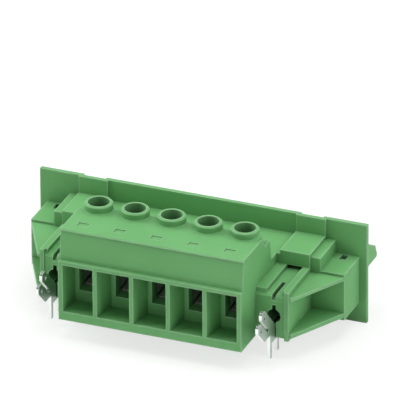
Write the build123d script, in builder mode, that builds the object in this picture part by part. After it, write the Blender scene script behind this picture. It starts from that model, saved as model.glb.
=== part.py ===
from build123d import *
import math
import os

# A five-pole feed-through connector: wires are clamped at the front, a plug mates at the back,
# and the panel plate stands between the two.
# X runs along the row of poles, Y from the wire side to the mating side, Z is up.
# The origin is on the board's surface, in the middle of the four solder pins.

# Row of poles
pole_count = 5
pole_pitch = 10.16
origin_depth = 9.5           # of the origin, behind the wire entry face

# Terminal block, depths behind the wire entry face and heights above the board
frame_height = 17.0
frame_ledge = 1.1
face_lean = 1.1
block_height = 25.5
block_top_depth = 17.0
ledge_drop = 2.7
ledge_depth = 20.2
rear_wall_lean = 1.2
end_notch_front = 14.45
end_notch_depth = 17.5
end_notch_drop = 3.4
lip_proud = 0.3
lip_height = 0.6
lip_radius = 0.5
body_height = 16.7

# Wire entries
entry_partition = 1.13
entry_end_wall = 1.25
entry_floor = 2.5
entry_ceiling = 15.9
entry_depth = 7.0
entry_throat_width = 6.5
neck_width = 4.2
neck_floor = 5.7
neck_ceiling = 12.6

# Screw collars and the small recesses in front of them
collar_depth = 15.75
collar_rise = 2.1
collar_radius = 3.76
collar_bore_radius = 2.85
collar_foot = 0.35
collar_bevel = 0.3
recess_width = 2.9
recess_length = 1.95
recess_floor = 0.22
recess_depth = 5.9
recess_shift = -0.35

# Panel plate with its forward pads and the guide pockets in its back
plate_depth = 37.06
plate_half_length = 45.8
plate_thickness = 1.2
plate_bottom = -5.9
plate_top = 22.56
pad_jog = 0.65
pocket_width = 6.2
pocket_jog = 0.7

# Flanges: screw column, box, rib and wing at each end
flange_screw_x = 30.48
flange_screw_height = 6.7
flange_bore_radius = 1.9
column_depth = 10.0
column_outer = 34.6
column_height = 12.8
column_bevel = 0.6
column_foot = 0.6
rail_height = 1.2
inner_rail_width = 2.9
outer_rail_width = 1.9
rail_setback = 0.6
keyhole_top = 9.8
groove_floor = 11.1
groove_length = 7.4
post_width = 1.2
post_depth = 1.45
post_proud = 0.25
box_inner = 26.35
box_depth = 25.04
box_height = 17.8
box_slot_width = 4.4
box_slot_height = 1.1
box_slot_length = 6.0
rib_outer = 37.2
rib_depth = 25.8
rib_height = 16.85
wing_outer = 43.8
wing_depth = 26.0
wing_height = 13.2
wing_wall = 1.3
web_root = 0.7
web_step = 0.7
web_thickness = 0.9
lower_web_bottom = 0.9
lower_web_thickness = 1.2
deck_hole_width = 1.7
deck_hole_length = 2.9
deck_hole_setback = 0.45
deck_hole_x = 40.05
deck_bar_width = 0.6
deck_bar_drop = 0.6

# Snap hooks behind the plate
hook_outer = 44.3
hook_thickness = 2.0
hook_bottom = 8.0
hook_root_top = 16.2
hook_reach = 10.3
hook_root_length = 2.3
hook_knee_reach = 5.0
hook_knee_drop = 2.6
hook_nose_reach = 9.0
hook_nose_drop = 4.5
hook_tip_height = 0.6
hook_tip_cut = 0.4

# Mating shroud behind the plate
shroud_half_width = 26.4
shroud_wall = 1.5
shroud_half_height = 7.3
shroud_length = 12.0
shroud_floor_depth = 35.0

# Clamping cage, its screw and the contact bar
cage_front_depth = 10.6
cage_length = 9.0
cage_width = 7.2
cage_side = 1.3
cage_floor = 6.1
cage_bottom_wall = 1.2
cage_top_wall = 2.6
cage_bend = 1.0
cage_lift = 4.55
chamber_gap = 0.15
chamber_headroom = 0.45
screw_radius = 2.0
screw_head_radius = 2.5
screw_head_height = 2.4
screw_head_drop = 4.5        # of its top, below the collar's rim
screw_slot_width = 0.8
screw_slot_depth = 1.3
screw_tip_chamfer = 0.5
thread_gap = 0.05
tip_gap = 0.05
bar_width = 3.8
bar_thickness = 1.6
bar_gap = 0.1
bar_over_cage_gap = 0.3
leg_depth = 30.1
pin_radius = 1.5
pin_reach = 13.0
pin_nose = 0.8

# Flange nuts
nut_radius = 2.4
nut_length = 7.3
nut_thread_radius = 1.25
nut_gap = 0.03

# Solder clips: a 45 degree pair of push-on tabs and two pins, cut from one sheet
sheet_thickness = 0.8
sheet_slot_gap = 0.12
pin_pitch = 5.08
pin_width = 1.2
pin_length = 4.1
tab_width = 2.8
tab_spacing = 3.64
tab_chamfer = 1.0
tab_hole_radius = 0.6
tab_hole_setback = 2.7
tab_notch_radius = 0.3
upper_tab_line = 12.35       # depth plus height along the upper tab's centre line
tab_tip_line = 10.7          # height minus depth at the tabs' tips
tab_slot_line = -0.5         # height minus depth at the bottom of the slot between the tabs
sheet_front_height = 2.8
sheet_rear_height = 4.2
sheet_rear_depth = 14.5

# Places worked out from the sizes above
wire_y = -origin_depth
lip_y = wire_y + frame_ledge + face_lean - lip_proud
block_width = pole_count * pole_pitch
half_block = block_width / 2
collar_y = wire_y + collar_depth
collar_height = block_height + collar_rise
ledge_height = block_height - ledge_drop
plate_y = wire_y + plate_depth
plate_back_y = plate_y + plate_thickness
column_y = wire_y + column_depth
box_y = wire_y + box_depth
rib_y = wire_y + rib_depth
wing_y = wire_y + wing_depth
shroud_floor_y = wire_y + shroud_floor_depth
shroud_end_y = plate_back_y + shroud_length
bar_bottom = cage_floor + cage_lift + bar_over_cage_gap
bar_top = bar_bottom + bar_thickness
cage_top_inside = bar_top + bar_over_cage_gap
cage_top = cage_top_inside + cage_top_wall
cage_y = wire_y + cage_front_depth
chamber_y = cage_y - chamber_gap
chamber_end_y = cage_y + cage_length + chamber_gap
chamber_floor = cage_floor - cage_bottom_wall - chamber_gap
chamber_top = cage_top + cage_lift + chamber_headroom
screw_tip = bar_top + tip_gap
screw_top = collar_height - screw_head_drop
leg_y = wire_y + leg_depth


def poles():
    """The row of poles, one place for each."""
    return GridLocations(pole_pitch, 0, pole_count, 1)


def upright(y):
    """Plane across the connector at y, drawn in X and Z."""
    return Plane.XZ.offset(-y)


def side(x):
    """Plane along the connector at x, drawn in Y and Z."""
    return Plane.YZ.offset(x)


pole_x = [place.position.X for place in poles().locations]

# Housing: one moulding, drawn as its right half and mirrored
with BuildPart() as housing:
    # Terminal block and the lower body that runs back to the plate
    with BuildSketch(side(0)):
        with BuildLine():
            Polyline(
                (wire_y, 0),
                (wire_y, frame_height),
                (wire_y + frame_ledge, frame_height),
                (lip_y + lip_proud, block_height - lip_height),
                (lip_y, block_height - lip_height),
                (lip_y, block_height),
                (wire_y + block_top_depth, block_height),
                (wire_y + block_top_depth, ledge_height),
                (wire_y + ledge_depth, ledge_height),
                (wire_y + ledge_depth + rear_wall_lean, body_height),
                (plate_y, body_height),
                (plate_y, 0),
                close=True,
            )
        make_face()
    extrude(amount=half_block)
    fillet(housing.edges().filter_by(Axis.X).group_by(Axis.Z)[-1].sort_by(Axis.Y)[0], lip_radius)

    # Notch at the end of the block's rear top edge
    with BuildSketch(side(half_block)):
        with BuildLine():
            Polyline(
                (wire_y + end_notch_front, block_height),
                (wire_y + end_notch_depth, block_height - end_notch_drop),
                (wire_y + ledge_depth, ledge_height),
                (wire_y + ledge_depth, block_height),
                close=True,
            )
        make_face()
    notch_inner = (pole_count - 1) * pole_pitch / 2 + collar_radius + collar_foot
    extrude(amount=notch_inner - half_block, mode=Mode.SUBTRACT)

    # Flange column and box in side view
    with BuildSketch(side(half_block)):
        with BuildLine():
            Polyline(
                (column_y, column_foot),
                (column_y, column_height - column_bevel),
                (column_y + column_bevel, column_height),
                (box_y, column_height),
                (box_y, body_height),
                (plate_y, body_height),
                (plate_y, column_foot),
                close=True,
            )
        make_face()
    extrude(amount=column_outer - half_block)
    with BuildSketch(side(box_inner)):
        with Locations(((box_y + plate_y) / 2, (box_height + body_height) / 2)):
            Rectangle(plate_y - box_y, box_height - body_height)
    extrude(amount=column_outer - box_inner)

    # Rails on top of the column, with the trough between them
    with BuildSketch(side(half_block)):
        with Locations(((column_y + rail_setback + box_y) / 2, column_height + rail_height / 2)):
            Rectangle(box_y - column_y - rail_setback, rail_height)
    extrude(amount=inner_rail_width)
    with BuildSketch(side(column_outer)):
        with Locations(((column_y + rail_setback + box_y) / 2, column_height + rail_height / 2)):
            Rectangle(box_y - column_y - rail_setback, rail_height)
    extrude(amount=-outer_rail_width)

    # Corner post that stands on the board at the column's outer front edge
    with BuildSketch(Plane.XY):
        with Locations((column_outer - post_width / 2, column_y + (post_depth - post_proud) / 2)):
            Rectangle(post_width, post_depth + post_proud)
    extrude(amount=column_height + rail_height)

    # Wing and its two triangular webs, in plan
    with BuildSketch(Plane.XY):
        with Locations(((column_outer + wing_outer) / 2, (wing_y + plate_y) / 2)):
            Rectangle(wing_outer - column_outer, plate_y - wing_y)
    extrude(amount=wing_height)
    web_top = wing_height - web_step
    for web_bottom, thickness in (
        (web_top - web_thickness, web_thickness),
        (lower_web_bottom, lower_web_thickness),
    ):
        with BuildSketch(Plane.XY.offset(web_bottom)):
            with BuildLine():
                Polyline(
                    (column_outer, column_y),
                    (column_outer + web_root, column_y),
                    (wing_outer, wing_y),
                    (column_outer, wing_y),
                    close=True,
                )
            make_face()
        extrude(amount=thickness)
    with BuildSketch(Plane.XY):
        with Locations(((rib_outer + wing_outer) / 2, (wing_y + plate_y) / 2)):
            Rectangle(wing_outer - rib_outer - 2 * wing_wall, plate_y - wing_y - 2 * wing_wall)
    extrude(amount=wing_height - wing_wall, mode=Mode.SUBTRACT)
    deck_hole_y = plate_y - deck_hole_setback - deck_hole_length / 2
    with BuildSketch(Plane.XY.offset(wing_height)):
        with Locations((deck_hole_x, deck_hole_y)):
            Rectangle(deck_hole_width, deck_hole_length)
    extrude(amount=-wing_wall, mode=Mode.SUBTRACT)
    with BuildSketch(Plane.XY.offset(wing_height - deck_bar_drop)):
        with Locations((deck_hole_x, deck_hole_y)):
            Rectangle(deck_hole_width, deck_bar_width)
    extrude(amount=deck_bar_drop - wing_wall)

    # Rib beside the box, standing on the wing
    with BuildSketch(side(column_outer)):
        with Locations(((rib_y + plate_y) / 2, (web_top + rib_height) / 2)):
            Rectangle(plate_y - rib_y, rib_height - web_top)
    extrude(amount=rib_outer - column_outer)

    # Panel plate and its forward pad above the box
    with BuildSketch(upright(plate_y)):
        with Locations((plate_half_length / 2, (plate_bottom + plate_top) / 2)):
            Rectangle(plate_half_length, plate_top - plate_bottom)
    extrude(amount=-plate_thickness)
    with BuildSketch(upright(plate_y)):
        with Locations(((box_inner + column_outer) / 2, (box_height + plate_top) / 2)):
            Rectangle(column_outer - box_inner, plate_top - box_height)
    extrude(amount=pad_jog)

    # Mating shroud
    with BuildSketch(upright(plate_back_y)):
        with Locations((shroud_half_width / 2, flange_screw_height)):
            Rectangle(shroud_half_width, 2 * shroud_half_height)
    extrude(amount=-shroud_length)
    with BuildSketch(upright(shroud_floor_y)):
        with Locations(((shroud_half_width - shroud_wall) / 2, flange_screw_height)):
            Rectangle(shroud_half_width - shroud_wall, 2 * (shroud_half_height - shroud_wall))
    extrude(amount=-(shroud_end_y - shroud_floor_y), mode=Mode.SUBTRACT)

    # Guide pocket in the plate's back, behind the flange box
    with BuildSketch(upright(plate_back_y)):
        with Locations((flange_screw_x, plate_top / 2)):
            Rectangle(pocket_width, plate_top)
    extrude(amount=pocket_jog, mode=Mode.SUBTRACT)

    # Snap hook
    with BuildSketch(side(hook_outer)):
        with BuildLine():
            Polyline(
                (plate_back_y, hook_bottom),
                (plate_back_y, hook_root_top),
                (plate_back_y + hook_root_length, hook_root_top),
                (plate_back_y + hook_knee_reach, hook_root_top - hook_knee_drop),
                (plate_back_y + hook_nose_reach, hook_root_top - hook_nose_drop),
                (plate_back_y + hook_reach, hook_bottom + hook_tip_height),
                (plate_back_y + hook_reach - hook_tip_cut, hook_bottom),
                close=True,
            )
        make_face()
    extrude(amount=-hook_thickness)

    # Screw passage through the flange, with the seat of its nut
    with BuildSketch(upright(column_y)):
        with Locations((flange_screw_x, flange_screw_height)):
            Circle(flange_bore_radius)
    extrude(amount=-(plate_back_y - column_y), mode=Mode.SUBTRACT)
    nut_seat_y = plate_back_y - pocket_jog - nut_length
    with BuildSketch(upright(nut_seat_y)):
        with Locations((flange_screw_x, flange_screw_height)):
            Circle(nut_radius + nut_gap)
    extrude(amount=-nut_length, mode=Mode.SUBTRACT)

    # Slot for the solder clip below the passage, the keyway above it and the groove on top
    slot_width = sheet_thickness + 2 * sheet_slot_gap
    slot_end_y = wire_y + sheet_rear_depth + sheet_slot_gap
    with BuildSketch(side(flange_screw_x)):
        with Locations(((column_y + slot_end_y) / 2, keyhole_top / 2)):
            Rectangle(slot_end_y - column_y, keyhole_top)
        with Locations((column_y + groove_length / 2, (groove_floor + column_height) / 2)):
            Rectangle(groove_length, column_height - groove_floor)
    extrude(amount=slot_width / 2, both=True, mode=Mode.SUBTRACT)

    # Low slot where the trough runs in under the box
    with BuildSketch(upright(box_y)):
        with Locations((flange_screw_x, column_height + box_slot_height / 2)):
            Rectangle(box_slot_width, box_slot_height)
    extrude(amount=-box_slot_length, mode=Mode.SUBTRACT)

    mirror(about=Plane.YZ)

    # Collars around the screw accesses, each with a sloped foot on the block's top
    with Locations((0, collar_y, block_height)):
        with poles():
            Cone(
                collar_radius + collar_foot,
                collar_radius,
                collar_foot,
                align=(Align.CENTER, Align.CENTER, Align.MIN),
            )
    with Locations((0, wire_y + block_top_depth, block_height)):
        Box(
            block_width,
            2 * collar_radius,
            collar_foot,
            align=(Align.CENTER, Align.MIN, Align.MIN),
            mode=Mode.SUBTRACT,
        )
    with BuildSketch(Plane.XY.offset(ledge_height)):
        with Locations((0, collar_y)):
            with poles():
                Circle(collar_radius)
    extrude(amount=collar_height - ledge_height)
    chamfer(housing.edges().group_by(Axis.Z)[-1], collar_bevel)

    # Funnel-shaped wire entries, one for each pole
    entry_width = pole_pitch - entry_partition
    entry_middle = (entry_floor + entry_ceiling) / 2
    for x in pole_x:
        mouth_left = max(x - entry_width / 2, entry_end_wall - half_block)
        mouth_right = min(x + entry_width / 2, half_block - entry_end_wall)
        with BuildSketch(upright(wire_y)):
            with Locations(((mouth_left + mouth_right) / 2, entry_middle)):
                Rectangle(mouth_right - mouth_left, entry_ceiling - entry_floor)
        with BuildSketch(upright(wire_y + entry_depth)):
            with Locations((x, entry_middle)):
                Rectangle(entry_throat_width, entry_ceiling - entry_floor)
        loft(mode=Mode.SUBTRACT)

    # Necks, cage chambers, bar slots and leg pockets, all in line with the entries
    for low, high, width, start_y, end_y in (
        (neck_floor, neck_ceiling, neck_width, wire_y + entry_depth, chamber_y),
        (chamber_floor, chamber_top, cage_width + 2 * chamber_gap, chamber_y, chamber_end_y),
        (bar_bottom - bar_gap, bar_top + bar_gap, bar_width + 2 * bar_gap, chamber_end_y, leg_y),
        (flange_screw_height - pin_radius - bar_gap, bar_top + bar_gap, bar_width + 2 * bar_gap,
         leg_y - bar_gap, shroud_floor_y),
    ):
        with BuildSketch(upright(start_y)):
            with Locations((0, (low + high) / 2)):
                with poles():
                    Rectangle(width, high - low)
        extrude(amount=-(end_y - start_y), mode=Mode.SUBTRACT)

    # Screw accesses down through the collars
    with Locations((0, collar_y, collar_height)):
        with poles():
            Hole(collar_bore_radius, collar_height - chamber_top)

    # Small recesses in the block's top
    with BuildSketch(Plane.XY.offset(block_height)):
        with Locations((recess_shift, wire_y + recess_depth)):
            with poles():
                Rectangle(recess_width, recess_length)
    extrude(amount=-recess_floor, mode=Mode.SUBTRACT)
housing.part.label = "housing"

os.makedirs("parts", exist_ok=True)
export_step(housing.part, "parts/housing.step")

# Clamping cages, screws and contact bars, one of each for every pole
for number, x in enumerate(pole_x, start=1):
    # The cage is a rectangular sleeve with the screw's thread in its thick top
    with BuildPart() as cage:
        with BuildSketch(upright(cage_y)):
            with Locations((x, (cage_floor - cage_bottom_wall + cage_top) / 2)):
                RectangleRounded(cage_width, cage_top - cage_floor + cage_bottom_wall, cage_bend)
            with Locations((x, (cage_floor + cage_top_inside) / 2)):
                Rectangle(cage_width - 2 * cage_side, cage_top_inside - cage_floor, mode=Mode.SUBTRACT)
        extrude(amount=-cage_length)
        with Locations((x, collar_y, cage_top)):
            Hole(screw_radius + thread_gap, cage_top_wall)
    cage.part.label = f"clamp_cage_{number}"
    export_step(cage.part, f"parts/clamp_cage_{number}.step")

    # The screw stands on the bar and lifts the cage when it is turned
    with BuildPart() as screw:
        with BuildSketch(Plane.XZ.offset(-collar_y)):
            with BuildLine():
                Polyline(
                    (x, screw_tip),
                    (x + screw_radius - screw_tip_chamfer, screw_tip),
                    (x + screw_radius, screw_tip + screw_tip_chamfer),
                    (x + screw_radius, screw_top - screw_head_height),
                    (x + screw_head_radius, screw_top - screw_head_height),
                    (x + screw_head_radius, screw_top),
                    (x, screw_top),
                    close=True,
                )
            make_face()
        revolve(axis=Axis((x, collar_y, 0), (0, 0, 1)))
        with BuildSketch(Plane.XY.offset(screw_top)):
            with Locations((x, collar_y)):
                Rectangle(2 * screw_head_radius, screw_slot_width)
        extrude(amount=-screw_slot_depth, mode=Mode.SUBTRACT)
    screw.part.label = f"clamp_screw_{number}"
    export_step(screw.part, f"parts/clamp_screw_{number}.step")

    # The bar runs through the cage, steps down behind it and passes the wall as a square shank,
    # from which the round mating pin stands out
    with BuildPart() as contact:
        with BuildSketch(side(x)):
            with BuildLine():
                Polyline(
                    (cage_y, bar_bottom),
                    (cage_y, bar_top),
                    (leg_y + bar_thickness, bar_top),
                    (leg_y + bar_thickness, flange_screw_height + pin_radius),
                    (shroud_floor_y, flange_screw_height + pin_radius),
                    (shroud_floor_y, flange_screw_height - pin_radius),
                    (leg_y, flange_screw_height - pin_radius),
                    (leg_y, bar_bottom),
                    close=True,
                )
            make_face()
        extrude(amount=bar_width / 2, both=True)
        with BuildSketch(upright(shroud_floor_y)):
            with Locations((x, flange_screw_height)):
                Circle(pin_radius)
        extrude(amount=-pin_reach)
        chamfer(contact.edges().group_by(Axis.Y)[-1], pin_nose)
    contact.part.label = f"contact_bar_{number}"
    export_step(contact.part, f"parts/contact_bar_{number}.step")

# Flange nuts and solder clips, one pair at each end
for name, sign in (("left", -1), ("right", 1)):
    screw_x = sign * flange_screw_x
    with BuildPart() as nut:
        with BuildSketch(upright(nut_seat_y)):
            with Locations((screw_x, flange_screw_height)):
                Circle(nut_radius)
                Circle(nut_thread_radius, mode=Mode.SUBTRACT)
        extrude(amount=-nut_length)
    nut.part.label = f"flange_nut_{name}"
    export_step(nut.part, f"parts/flange_nut_{name}.step")

    # Each corner of the tabs is given by its lines at 45 degrees: depth plus height, height minus depth
    half_tab = tab_width / math.sqrt(2)
    cut = tab_chamfer * math.sqrt(2)
    lower_tab_line = upper_tab_line - tab_spacing * math.sqrt(2)
    outline = []
    for across, along in (
        (upper_tab_line + half_tab, tab_tip_line - cut),
        (upper_tab_line + half_tab - cut, tab_tip_line),
        (upper_tab_line - half_tab + cut, tab_tip_line),
        (upper_tab_line - half_tab, tab_tip_line - cut),
        (upper_tab_line - half_tab, tab_slot_line),
        (lower_tab_line + half_tab, tab_slot_line),
        (lower_tab_line + half_tab, tab_tip_line - cut),
        (lower_tab_line + half_tab - cut, tab_tip_line),
        (lower_tab_line - half_tab + cut, tab_tip_line),
        (lower_tab_line - half_tab, tab_tip_line - cut),
    ):
        outline.append((wire_y + (across - along) / 2, (across + along) / 2))
    front_pin = -(pin_pitch + pin_width) / 2
    rear_pin = (pin_pitch + pin_width) / 2
    outline += [
        (wire_y + lower_tab_line - half_tab - sheet_front_height, sheet_front_height),
        (front_pin, sheet_front_height),
        (front_pin, -pin_length),
        (front_pin + pin_width, -pin_length),
        (front_pin + pin_width, 0),
        (rear_pin - pin_width, 0),
        (rear_pin - pin_width, -pin_length),
        (rear_pin, -pin_length),
        (rear_pin, 0),
        (wire_y + sheet_rear_depth, 0),
        (wire_y + sheet_rear_depth, sheet_rear_height),
        (wire_y + upper_tab_line + half_tab - sheet_rear_height, sheet_rear_height),
    ]
    with BuildPart() as clip:
        with BuildSketch(side(screw_x)):
            with BuildLine():
                Polyline(outline, close=True)
            make_face()
            for tab_line in (upper_tab_line, lower_tab_line):
                hole_line = tab_tip_line - tab_hole_setback * math.sqrt(2)
                with Locations((wire_y + (tab_line - hole_line) / 2, (tab_line + hole_line) / 2)):
                    Circle(tab_hole_radius, mode=Mode.SUBTRACT)
                with Locations((wire_y + (tab_line - tab_tip_line) / 2, (tab_line + tab_tip_line) / 2)):
                    Circle(tab_notch_radius, mode=Mode.SUBTRACT)
        extrude(amount=sheet_thickness / 2, both=True)
    clip.part.label = f"solder_clip_{name}"
    export_step(clip.part, f"parts/solder_clip_{name}.step")
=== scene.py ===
import math

import bmesh
import bpy
from mathutils import Matrix, Vector


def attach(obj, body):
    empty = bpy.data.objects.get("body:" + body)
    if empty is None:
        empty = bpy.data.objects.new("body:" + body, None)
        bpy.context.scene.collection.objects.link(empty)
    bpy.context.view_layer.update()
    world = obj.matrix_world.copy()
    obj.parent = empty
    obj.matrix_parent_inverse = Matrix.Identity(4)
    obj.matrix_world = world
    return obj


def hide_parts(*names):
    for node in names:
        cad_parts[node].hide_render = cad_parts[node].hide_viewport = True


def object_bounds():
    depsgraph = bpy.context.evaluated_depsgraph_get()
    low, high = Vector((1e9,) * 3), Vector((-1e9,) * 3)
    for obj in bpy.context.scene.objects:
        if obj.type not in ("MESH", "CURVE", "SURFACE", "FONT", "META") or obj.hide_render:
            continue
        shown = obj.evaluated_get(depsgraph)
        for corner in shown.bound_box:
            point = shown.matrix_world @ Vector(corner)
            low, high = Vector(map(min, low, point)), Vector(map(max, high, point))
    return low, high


# Dresses the five-pole feed-through connector: green moulded housing, plated metal parts, studio and camera.
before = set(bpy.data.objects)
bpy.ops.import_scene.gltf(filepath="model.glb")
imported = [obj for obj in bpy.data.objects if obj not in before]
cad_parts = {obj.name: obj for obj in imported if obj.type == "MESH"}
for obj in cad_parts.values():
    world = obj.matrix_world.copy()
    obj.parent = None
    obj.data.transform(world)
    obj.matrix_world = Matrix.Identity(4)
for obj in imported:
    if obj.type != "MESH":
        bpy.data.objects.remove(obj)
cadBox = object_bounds()
mm = 0.001
poleNumbers = range(1, 6)
sides = ("left", "right")
white = (1, 1, 1)
print("stage 1: frame loaded,", len(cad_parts), "nodes")


# Camera, fitted to the straight edges in the photograph
cameraSettings = {
    "azimuth": 21.843,       # degrees round the object, 0 looks along +Y
    "elevation": 27.165,     # degrees above the horizon
    "roll": -0.294,          # degrees
    "distance": 2.21773,     # metres from the point aimed at
    "aim": (0.009691, 0.0045, 0.033273),
    "lens": 761.4,           # millimetres, as is the sensor's width
    "sensorWidth": 36,
    "clip": (0.1, 20),       # metres, nearest and farthest that is seen
}


def placeCamera(s):
    azimuth, elevation, roll = (math.radians(s[k]) for k in ("azimuth", "elevation", "roll"))
    back = Vector((math.cos(elevation) * math.sin(azimuth), -math.cos(elevation) * math.cos(azimuth),
                   math.sin(elevation)))
    right = Vector((math.cos(azimuth), math.sin(azimuth), 0))
    up = back.cross(right)
    rolledRight = math.cos(roll) * right + math.sin(roll) * up
    rolledUp = math.cos(roll) * up - math.sin(roll) * right
    data = bpy.data.cameras.new("photoCamera")
    data.sensor_width = s["sensorWidth"]
    data.lens = s["lens"]
    data.clip_start, data.clip_end = s["clip"]
    camera = bpy.data.objects.new("photoCamera", data)
    bpy.context.scene.collection.objects.link(camera)
    turn = Matrix((rolledRight, rolledUp, back)).transposed().to_4x4()
    camera.matrix_world = Matrix.Translation(Vector(s["aim"]) + s["distance"] * back) @ turn
    bpy.context.scene.camera = camera


placeCamera(cameraSettings)
print("stage 2: camera placed")


# Node helpers. What feeds a socket is a number, a vector or a colour, or else another node's socket.
def feed(tree, socket, value):
    if isinstance(value, bpy.types.NodeSocket):
        tree.links.new(value, socket)
    elif socket.type == "RGBA":
        socket.default_value = (*value, 1)
    else:
        socket.default_value = value


def addNode(tree, kind, feeds=(), **values):
    node = tree.nodes.new("ShaderNode" + kind)
    for key, value in values.items():
        setattr(node, key, value)
    for name, value in dict(feeds).items():
        feed(tree, node.inputs[name], value)
    return node


def addGroup(tree, group, feeds):
    return addNode(tree, "Group", feeds, node_tree=group).outputs


def mathNode(tree, operation, first, second=0.0, clamp=False):
    return addNode(tree, "Math", {0: first, 1: second}, operation=operation, use_clamp=clamp).outputs[0]


def mixColours(tree, amount, first, second):
    node = addNode(tree, "Mix", {0: amount, 6: first, 7: second}, data_type="RGBA")
    return node.outputs[2]   # this one, 6 and 7 are the node's colour sockets


def rangeNode(tree, source, toMin, toMax, fromMin=0.0, fromMax=1.0):
    feeds = {"Value": source, "From Min": fromMin, "From Max": fromMax, "To Min": toMin, "To Max": toMax}
    return addNode(tree, "MapRange", feeds).outputs["Result"]


def rampNode(tree, source, span, dark, light):
    node = addNode(tree, "ValToRGB", {"Fac": source})
    for element, position, colour in zip(node.color_ramp.elements, span, (dark, light)):
        element.position = position
        element.color = (*colour, 1)
    return node.outputs["Color"]


def newMaterial(name):
    mat = bpy.data.materials.new(name)
    mat.use_nodes = True
    return mat, mat.node_tree, mat.node_tree.nodes["Principled BSDF"].inputs


def newGroup(name, inputs, outputs):
    tree = bpy.data.node_groups.new(name, "ShaderNodeTree")
    for way, sockets in (("INPUT", inputs), ("OUTPUT", outputs)):
        for label, kind in sockets.items():
            tree.interface.new_socket(label, in_out=way, socket_type="NodeSocket" + kind)
    return tree, tree.nodes.new("NodeGroupInput").outputs, tree.nodes.new("NodeGroupOutput").inputs


# Effects that the finishes share: rounded edges with a mask for a painted highlight, an occlusion mask for
# painted shade, and grain
effectSettings = {
    "samples": 6,            # rays of each bevel and shading node
    "grainDetail": 3,
    "flowDetail": 4,
    "flowDistortion": 0.6,
    "bumpDistance": 0.001,   # metres for a grain depth of 1
}


# Rounds the edges in the shading normal, and masks the convex edges, where the finishes mix in a lighter
# colour as a painted highlight
def buildEdgeAndHighlightGroup(s):
    tree, given, result = newGroup("roundedEdgesAndHighlight", {"Radius": "Float", "Width": "Float", "Sharpness": "Float"},
                                   {"Normal": "Vector", "Highlight": "Float"})
    bevel = addNode(tree, "Bevel", {"Radius": given["Radius"]}, samples=s["samples"])
    rim = addNode(tree, "AmbientOcclusion", {"Distance": given["Width"]}, samples=s["samples"],
                  inside=True, only_local=True)
    thin = mathNode(tree, "SUBTRACT", 1.0, rim.outputs["AO"])
    feed(tree, result["Normal"], bevel.outputs["Normal"])
    feed(tree, result["Highlight"], mathNode(tree, "MULTIPLY", thin, given["Sharpness"], clamp=True))
    return tree


# Masks nooks and hollows by how much of the surroundings they see; the finishes darken them there with a
# painted shade
def buildCornerShadeGroup(s):
    tree, given, result = newGroup("paintedCornerShade", {"Reach": "Float", "Falloff": "Float"},
                                   {"Unshaded": "Float"})
    shelter = addNode(tree, "AmbientOcclusion", {"Distance": given["Reach"]}, samples=s["samples"])
    feed(tree, result["Unshaded"], mathNode(tree, "POWER", shelter.outputs["AO"], given["Falloff"]))
    return tree


def buildGrainGroup(s):
    tree, given, result = newGroup(
        "fineGrain",
        {"Vector": "Vector", "Scale": "Float", "Depth": "Float", "Flow Scale": "Float",
         "Base Normal": "Vector"},
        {"Normal": "Vector", "Grain": "Float", "Flow": "Float"},
    )
    place = given["Vector"]
    grain = addNode(tree, "TexNoise", {"Vector": place, "Scale": given["Scale"], "Detail": s["grainDetail"]})
    flow = addNode(tree, "TexNoise", {"Vector": place, "Scale": given["Flow Scale"],
                                      "Detail": s["flowDetail"], "Distortion": s["flowDistortion"]})
    height = mathNode(tree, "MULTIPLY", grain.outputs["Fac"], given["Depth"])
    bump = addNode(tree, "Bump", {"Height": height, "Distance": s["bumpDistance"],
                                  "Normal": given["Base Normal"]})
    feed(tree, result["Normal"], bump.outputs["Normal"])
    feed(tree, result["Grain"], grain.outputs["Fac"])
    feed(tree, result["Flow"], flow.outputs["Fac"])
    return tree


roundedEdgesAndHighlight = buildEdgeAndHighlightGroup(effectSettings)
paintedCornerShade = buildCornerShadeGroup(effectSettings)
fineGrain = buildGrainGroup(effectSettings)


def addGrain(tree, vector, edges, s):
    return addGroup(tree, fineGrain, {"Vector": vector, "Base Normal": edges["Normal"], **s["grain"]})


def coverSurface(tree, inputs, body, edges, grain, unshaded, s):
    # Convex edges take the lighter edge colour as a painted highlight, and nooks and hollows take the dark
    # corner colour as painted shade
    edgeHighlit = mixColours(tree, edges["Highlight"], body, s["edge"])
    feed(tree, inputs["Base Color"], mixColours(tree, unshaded, s["corner"], edgeHighlit))
    feed(tree, inputs["Roughness"], rangeNode(tree, grain["Grain"], *s["roughness"]))
    feed(tree, inputs["Normal"], grain["Normal"])


# Green moulded polyamide of the housing. Its "edge" colour is a painted highlight on convex edges, and its
# "corner" colour a painted shade in nooks and hollows.
plasticSettings = {
    "dark": (0.147, 0.417, 0.146),
    "light": (0.168, 0.454, 0.166),
    "flowSpan": (0.3, 0.7),            # values of the flow pattern that are dark and light
    "edge": (0.33, 0.56, 0.33),
    "corner": (0.02, 0.045, 0.02),
    "roughness": (0.56, 0.68),
    "specular": 0.34,
    "edges": {"Radius": 0.00016, "Width": 0.0004, "Sharpness": 2.0},
    "corners": {"Reach": 0.006, "Falloff": 0.42},
    "grain": {"Scale": 9000.0, "Depth": 0.012, "Flow Scale": 45.0},
}


def greenPlastic(s):
    mat, tree, inputs = newMaterial("greenMouldedPlastic")
    edges = addGroup(tree, roundedEdgesAndHighlight, s["edges"])
    corners = addGroup(tree, paintedCornerShade, s["corners"])
    grain = addGrain(tree, addNode(tree, "TexCoord").outputs["Object"], edges, s)
    body = rampNode(tree, grain["Flow"], s["flowSpan"], s["dark"], s["light"])
    coverSurface(tree, inputs, body, edges, grain, corners["Unshaded"], s)
    feed(tree, inputs["Specular IOR Level"], s["specular"])
    return mat
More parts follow.
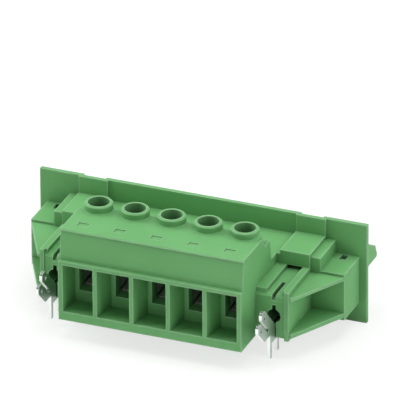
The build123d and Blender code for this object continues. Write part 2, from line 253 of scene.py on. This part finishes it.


# Plated and bare metals. "brush" is how close the brushing lies along X, Y and Z. The sheet's cut faces get a
# bright painted reflection, and a darker painted shade where they look upwards. Each "edge" colour is a
# painted highlight on convex edges, and "corner" a painted shade in nooks and crevices.
metalSettings = {
    # Its green tint is a painted reflection of the green housing
    "zincSteel": {
        "light": (0.74, 0.84, 0.74), "dark": (0.60, 0.69, 0.60), "edge": (0.66, 0.75, 0.66),
        "roughness": (0.42, 0.58), "brush": (900, 900, 160), "corners": {"Reach": 0.002, "Falloff": 0.2},
    },
    "zincScrew": {
        "light": (0.36, 0.37, 0.38), "dark": (0.26, 0.27, 0.28), "edge": (0.60, 0.61, 0.62),
        "roughness": (0.36, 0.5), "brush": (500, 500, 500), "corners": {"Reach": 0.0015, "Falloff": 1.0},
    },
    "tinnedCopper": {
        "light": (0.78, 0.77, 0.74), "dark": (0.62, 0.60, 0.57), "edge": (0.90, 0.89, 0.87),
        "roughness": (0.22, 0.38), "brush": (700, 200, 700), "corners": {"Reach": 0.002, "Falloff": 0.2},
    },
    "turnedBrass": {
        "light": (0.80, 0.62, 0.30), "dark": (0.62, 0.45, 0.20), "edge": (0.92, 0.76, 0.44),
        "roughness": (0.22, 0.36), "brush": (300, 2500, 300), "corners": {"Reach": 0.001, "Falloff": 0.3},
    },
    # Its green tint is a painted reflection of the green housing
    "tinnedSheet": {
        "light": (0.47, 0.57, 0.49), "dark": (0.38, 0.47, 0.40), "edge": (0.94, 0.96, 0.94),
        "roughness": (0.34, 0.48), "brush": (300, 900, 900), "corners": {"Reach": 0.008, "Falloff": 0.15},
        "cutFaceReflection": (0.93, 0.95, 0.93), "upFacingCutShade": (0.27, 0.31, 0.28),
    },
}
sharedMetal = {
    "flowSpan": (0.32, 0.62),
    # painted shade of the metals' nooks and hollows
    "corner": (0.03, 0.035, 0.03),
    "edges": {"Radius": 0.00004, "Width": 0.00011, "Sharpness": 2.0},
    # the painted shade also reaches into small crevices
    "crevices": {"Reach": 0.0006, "Falloff": 3.0},   # notches, slots and small holes
    "grain": {"Scale": 6.0, "Depth": 0.006, "Flow Scale": 0.6},
    "rolledFacing": 0.7,                             # the sheet's rolled sides face along X by more than this
    "aboveFacing": (0.25, 0.55),                     # how far up a cut face looks while its colour changes
}


# Painted light on the sheet's cut faces: a bright painted reflection, turning to a darker painted shade where
# they look upwards; the rolled sides keep the body colour
def cutSheetPaintedLight(tree, body, s):
    facing = addNode(tree, "SeparateXYZ", {"Vector": addNode(tree, "TexCoord").outputs["Normal"]}).outputs
    rolled = mathNode(tree, "GREATER_THAN", mathNode(tree, "ABSOLUTE", facing["X"]), s["rolledFacing"])
    above = rangeNode(tree, facing["Z"], 0.0, 1.0, *s["aboveFacing"])
    return mixColours(tree, rolled, mixColours(tree, above, s["cutFaceReflection"], s["upFacingCutShade"]), body)


def platedMetal(name, s):
    mat, tree, inputs = newMaterial(name)
    place = addNode(tree, "TexCoord").outputs["Object"]
    brushed = addNode(tree, "Mapping", {"Vector": place, "Scale": s["brush"]}).outputs["Vector"]
    edges = addGroup(tree, roundedEdgesAndHighlight, s["edges"])
    corners = addGroup(tree, paintedCornerShade, s["corners"])
    crevices = addGroup(tree, paintedCornerShade, s["crevices"])
    unshaded = mathNode(tree, "MULTIPLY", corners["Unshaded"], crevices["Unshaded"])
    grain = addGrain(tree, brushed, edges, s)
    body = rampNode(tree, grain["Flow"], s["flowSpan"], s["dark"], s["light"])
    if "cutFaceReflection" in s:
        body = cutSheetPaintedLight(tree, body, s)
    coverSurface(tree, inputs, body, edges, grain, unshaded, s)
    feed(tree, inputs["Metallic"], 1.0)
    return mat


materials = {name: platedMetal(name, {**sharedMetal, **s}) for name, s in metalSettings.items()}
materials["greenPlastic"] = greenPlastic(plasticSettings)
nodeFinish = {"housing": "greenPlastic"}
for number in poleNumbers:
    nodeFinish[f"clamp_cage_{number}"] = "zincSteel"
    nodeFinish[f"clamp_screw_{number}"] = "zincScrew"
    nodeFinish[f"contact_bar_{number}"] = "tinnedCopper"
for side in sides:
    nodeFinish[f"flange_nut_{side}"] = "turnedBrass"
    nodeFinish[f"solder_clip_{side}"] = "tinnedSheet"
for node, finish in nodeFinish.items():
    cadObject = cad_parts[node]
    cadObject.data.materials.clear()
    cadObject.data.materials.append(materials[finish])
print("stage 3: materials on", len(nodeFinish), "nodes")


def meshObject(bm, name):
    mesh = bpy.data.meshes.new(name)
    bm.to_mesh(mesh)
    bm.free()
    made = bpy.data.objects.new(name, mesh)
    bpy.context.scene.collection.objects.link(made)
    return made


# Clamp screws: slotted heads with a bevelled rim over a threaded shank, all in millimetres
screwSettings = {
    "polePitch": 10.16,
    "middlePole": 3,           # the pole that stands at X 0
    "axisY": 6.25,
    "headRadius": 2.5,
    "headZ": (20.7, 23.1),
    "slotWidth": 0.8,
    "slotFloorZ": 21.8,
    "rimBevel": 0.35,
    "rimSteps": 2,
    "rootRadius": 1.66,
    "crestRadius": 2.0,
    "threadZ": (13.3, 20.2),   # where the thread starts and ends
    "tipZ": 12.6,
    "tipBevel": 0.5,
    "pitch": 0.7,
    "footShare": 0.46,         # half of the thread's foot and crest, as shares of the pitch
    "crestShare": 0.06,
    "overlap": 0.1,            # how far the shank, the slot's floor and the thread reach into the rest
    "tolerance": 0.001,
    "segments": 36,
    "sharpAngle": 30,          # degrees, over which an edge stays sharp
}


def addRound(bm, bottom, top, lowRadius, highRadius, s):
    made = bmesh.ops.create_cone(bm, cap_ends=True, segments=s["segments"], radius1=lowRadius,
                                 radius2=highRadius, depth=top - bottom)
    bmesh.ops.translate(bm, verts=made["verts"], vec=(0, 0, (bottom + top) / 2))


def addHeadPart(bm, planes, top, rimBevel, s):
    part = bmesh.new()
    addRound(part, s["headZ"][0], top, s["headRadius"], s["headRadius"], s)
    for x, outwards in planes:
        cut = bmesh.ops.bisect_plane(part, geom=part.verts[:] + part.edges[:] + part.faces[:],
                                     plane_co=(x, 0, 0), plane_no=(outwards, 0, 0), clear_outer=True)
        loop = [piece for piece in cut["geom_cut"] if isinstance(piece, bmesh.types.BMEdge)]
        bmesh.ops.edgeloop_fill(part, edges=loop)
    if rimBevel:
        rim = [edge for edge in part.edges if min(vert.co.z for vert in edge.verts) > top - s["tolerance"]
               and edge.calc_length() < s["headRadius"]]   # the slot's own edge is longer
        bmesh.ops.bevel(part, geom=rim, offset=rimBevel, affect="EDGES", segments=s["rimSteps"],
                        profile=0.5, material=-1)
    shape = bpy.data.meshes.new("headPart")
    part.to_mesh(shape)
    part.free()
    bm.from_mesh(shape)
    bpy.data.meshes.remove(shape)


def addThread(bm, s):
    foot, crest, pitch = s["rootRadius"] - s["overlap"], s["crestRadius"], s["pitch"]
    startZ, endZ = s["threadZ"]
    section = ((foot, -s["footShare"]), (crest, -s["crestShare"]),
               (crest, s["crestShare"]), (foot, s["footShare"]))
    verts = [bm.verts.new((radius, 0, startZ + rise * pitch)) for radius, rise in section]
    profile = bm.faces.new(verts)
    steps = round((endZ - startZ) / pitch * s["segments"])
    bmesh.ops.spin(bm, geom=verts + profile.edges[:] + [profile], cent=(0, 0, 0), axis=(0, 0, 1),
                   dvec=(0, 0, pitch / s["segments"]), angle=2 * math.pi * steps / s["segments"],
                   steps=steps, use_merge=False, use_duplicate=False)


def buildScrew(number, s):
    bm = bmesh.new()
    half = s["slotWidth"] / 2
    addHeadPart(bm, ((half, -1),), s["headZ"][1], s["rimBevel"], s)
    addHeadPart(bm, ((-half, 1),), s["headZ"][1], s["rimBevel"], s)
    addHeadPart(bm, ((half + s["overlap"], 1), (-half - s["overlap"], -1)), s["slotFloorZ"], 0, s)
    shoulderZ = s["tipZ"] + s["tipBevel"]
    addRound(bm, shoulderZ, s["headZ"][0] + s["overlap"], s["rootRadius"], s["rootRadius"], s)
    addRound(bm, s["tipZ"], shoulderZ, s["rootRadius"] - s["tipBevel"], s["rootRadius"], s)
    addThread(bm, s)
    bmesh.ops.recalc_face_normals(bm, faces=bm.faces)
    bmesh.ops.scale(bm, verts=bm.verts, vec=(mm, mm, mm))
    poleX = (number - s["middlePole"]) * s["polePitch"]
    bmesh.ops.translate(bm, verts=bm.verts, vec=(poleX * mm, s["axisY"] * mm, 0))
    for face in bm.faces:
        face.smooth = True
    screw = meshObject(bm, f"slottedScrew{number}")
    screw.data.set_sharp_from_angle(angle=math.radians(s["sharpAngle"]))
    screw.data.materials.append(materials["zincScrew"])
    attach(screw, f"clamp_screw_{number}")
    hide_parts(f"clamp_screw_{number}")
    return len(screw.data.polygons)


screwFaces = sum(buildScrew(number, screwSettings) for number in poleNumbers)
print("stage 4: clamp screws built,", screwFaces, "faces")


# Studio: a pale floor, soft lamps above, in front and at both sides, and a faint sky that is brightest
# near the horizon
studioSettings = {
    "floorColour": (0.93, 0.93, 0.93),
    "floorSeen": (0.34, 0.34, 0.34),   # its colour where it is seen directly, which keeps its shadows soft
    "floorLift": 0.71,                 # light that only the camera and mirrors see, so that it reads white
    "floorRoughness": 0.9,
    "floorSpecular": 0.1,
    "floorSize": 12.0,
    "sky": 0.1,
    "lamps": (                         # name, place, width and power
        ("overheadLamp", (0.1, 0.05, 0.9), 0.7, 5.5),
        ("rightLamp", (0.85, 0.05, 0.45), 0.6, 3.1),
        ("leftLamp", (-0.85, -0.1, 0.5), 0.6, 5.8),
        ("frontLamp", (0.1, -0.9, 0.45), 0.6, 1.2),
    ),
}


def seenDirectly(tree):
    path = addNode(tree, "LightPath").outputs
    mirrored = mathNode(tree, "MAXIMUM", path["Is Glossy Ray"], path["Is Transmission Ray"])
    return mathNode(tree, "MAXIMUM", path["Is Camera Ray"], mirrored)


def buildSky(s):
    world = bpy.data.worlds.new("paleStudio")
    bpy.context.scene.world = world
    world.use_nodes = True
    tree = world.node_tree
    background = tree.nodes["Background"].inputs
    feed(tree, background["Color"], white)
    looking = addNode(tree, "SeparateXYZ", {"Vector": addNode(tree, "TexCoord").outputs["Generated"]})
    skyLight = rangeNode(tree, looking.outputs["Z"], s["sky"], 0.0)
    feed(tree, background["Strength"], rangeNode(tree, seenDirectly(tree), skyLight, 1.0))


def buildFloor(s):
    bm = bmesh.new()
    bmesh.ops.create_grid(bm, x_segments=1, y_segments=1, size=s["floorSize"] / 2)
    bmesh.ops.translate(bm, verts=bm.verts, vec=(0, 0, cadBox[0].z))
    floor = meshObject(bm, "studioFloor")
    mat, tree, inputs = newMaterial("paleFloor")
    seen = seenDirectly(tree)
    feed(tree, inputs["Base Color"], mixColours(tree, seen, s["floorColour"], s["floorSeen"]))
    feed(tree, inputs["Roughness"], s["floorRoughness"])
    feed(tree, inputs["Specular IOR Level"], s["floorSpecular"])
    feed(tree, inputs["Emission Color"], white)
    feed(tree, inputs["Emission Strength"], mathNode(tree, "MULTIPLY", seen, s["floorLift"]))
    floor.data.materials.append(mat)


def placeLamps(s):
    middle = (cadBox[0] + cadBox[1]) / 2
    for name, place, width, power in s["lamps"]:
        data = bpy.data.lights.new(name, "AREA")
        data.size = width
        data.energy = power
        lamp = bpy.data.objects.new(name, data)
        bpy.context.scene.collection.objects.link(lamp)
        lamp.location = place
        lamp.rotation_euler = (middle - Vector(place)).to_track_quat("-Z", "Y").to_euler()


buildSky(studioSettings)
buildFloor(studioSettings)
placeLamps(studioSettings)
bpy.context.scene.view_settings.view_transform = "Standard"
print("stage 5: studio built")
